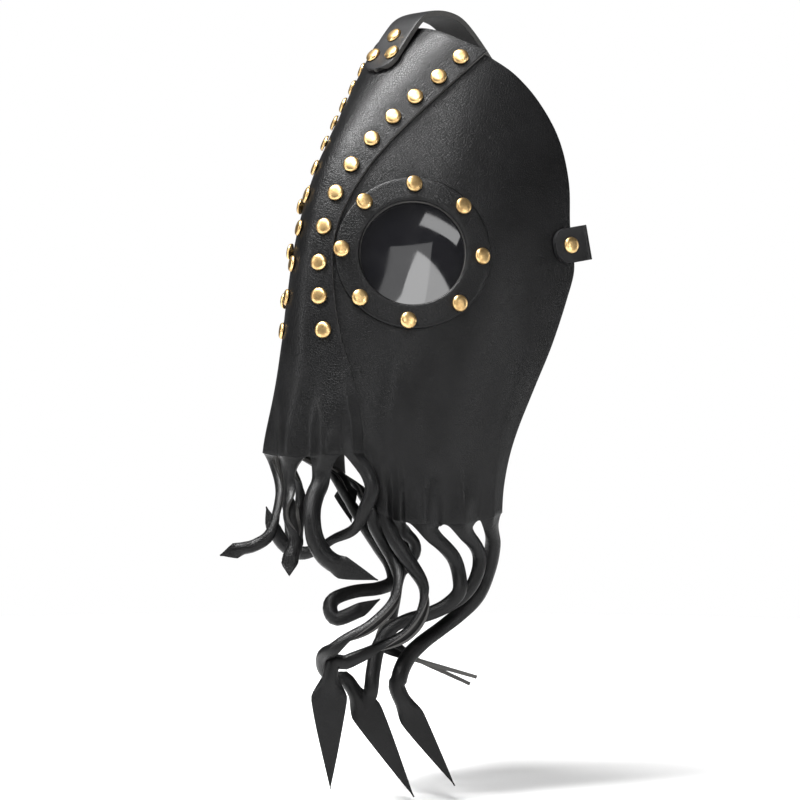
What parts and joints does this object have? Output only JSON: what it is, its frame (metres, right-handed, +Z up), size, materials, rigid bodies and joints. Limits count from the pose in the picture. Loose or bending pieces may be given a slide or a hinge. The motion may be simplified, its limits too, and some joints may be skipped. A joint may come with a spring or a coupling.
{
  "type": "tentacle hood mask",
  "caption": "Riveted leather half-hood mask with round eye windows, curled tentacle strips under the jaw, a crown strap and a buckled back strap.",
  "frame": {"origin": "nose bridge of the mask, in its plane of symmetry and level with the eye centres", "axes": "+Z up as worn, the face looks along -Y, the wearer's left is +X"},
  "size_m": [0.1618, 0.2177, 0.3788],
  "materials": {
    "panel_leather": "black satin leather",
    "strap_leather": "black strap leather",
    "rivet_brass": "antique brass",
    "buckle_brass": "antique brass",
    "smoked_lens": "dark glossy lens"
  },
  "bodies": {
    "mask": {"centre_panel": "panel_leather", "crown_loop_rivet": "rivet_brass", "crown_loop_rivet_back": "rivet_brass", "crown_rivet_backs": "rivet_brass", "crown_rivets": "rivet_brass", "crown_strap": "strap_leather", "left_eye_lens": "smoked_lens", "left_eye_ring": "panel_leather", "left_eye_rivet_backs": "rivet_brass", "left_eye_rivets": "rivet_brass", "left_lens_retainer": "strap_leather", "left_seam_rivet_backs": "rivet_brass", "left_seam_rivets": "rivet_brass", "left_side_panel": "panel_leather", "left_temple_rivet": "rivet_brass", "left_temple_rivet_back": "rivet_brass", "right_eye_lens": "smoked_lens", "right_eye_ring": "panel_leather", "right_eye_rivet_backs": "rivet_brass", "right_eye_rivets": "rivet_brass", "right_lens_retainer": "strap_leather", "right_seam_rivet_backs": "rivet_brass", "right_seam_rivets": "rivet_brass", "right_side_panel": "panel_leather", "right_temple_rivet": "rivet_brass", "right_temple_rivet_back": "rivet_brass", "tentacle_centre_1": "panel_leather", "tentacle_centre_2": "panel_leather", "tentacle_centre_3": "panel_leather", "tentacle_centre_4": "panel_leather", "tentacle_left_1": "panel_leather", "tentacle_left_2": "panel_leather", "tentacle_left_3": "panel_leather", "tentacle_left_4": "panel_leather", "tentacle_left_5": "panel_leather", "tentacle_left_6": "panel_leather", "tentacle_right_1": "panel_leather", "tentacle_right_2": "panel_leather", "tentacle_right_3": "panel_leather", "tentacle_right_4": "panel_leather", "tentacle_right_5": "panel_leather"},
    "billet_half": {"left_billet_strap": "strap_leather"},
    "buckle_half": {"right_buckle_strap": "strap_leather", "fold_rivets": "rivet_brass", "fold_rivet_backs": "rivet_brass"},
    "buckle": {"buckle_frame": "buckle_brass"},
    "roller": {"buckle_roller": "buckle_brass"},
    "prong": {"buckle_prong": "buckle_brass"},
    "keeper": {"strap_keeper": "strap_leather"}
  },
  "joints": [
    {"name": "left_strap_swivel", "type": "hinge", "parent": "mask", "child": "billet_half", "pos_m": [0.07558, 0.10328, 0.00458], "axis": [0.9719, -0.2312, 0.0443], "range_deg": [-20, 10]},
    {"name": "right_strap_swivel", "type": "hinge", "parent": "mask", "child": "buckle_half", "pos_m": [-0.07558, 0.10328, 0.00458], "axis": [0.9719, 0.2312, -0.0443], "range_deg": [-20, 10]},
    {"name": "buckle_swing", "type": "hinge", "parent": "buckle_half", "child": "buckle", "pos_m": [-0.0327, 0.15344, 0.00908], "axis": [0.0826, -0.1588, 0.9838], "range_deg": [-35, 35]},
    {"name": "prong_lift", "type": "hinge", "parent": "buckle", "child": "prong", "pos_m": [-0.0327, 0.15344, 0.00908], "axis": [0.0826, -0.1588, 0.9838], "range_deg": [0, 90]},
    {"name": "roller_spin", "type": "hinge", "parent": "buckle", "child": "roller", "pos_m": [-0.02119, 0.16452, 0.0099], "axis": [0.0826, -0.1588, 0.9838], "continuous": true},
    {"name": "keeper_slide", "type": "slide", "parent": "buckle_half", "child": "keeper", "axis": [0.7196, 0.6925, 0.0514], "range_m": [-0.0034, 0.0034]}
  ]
}
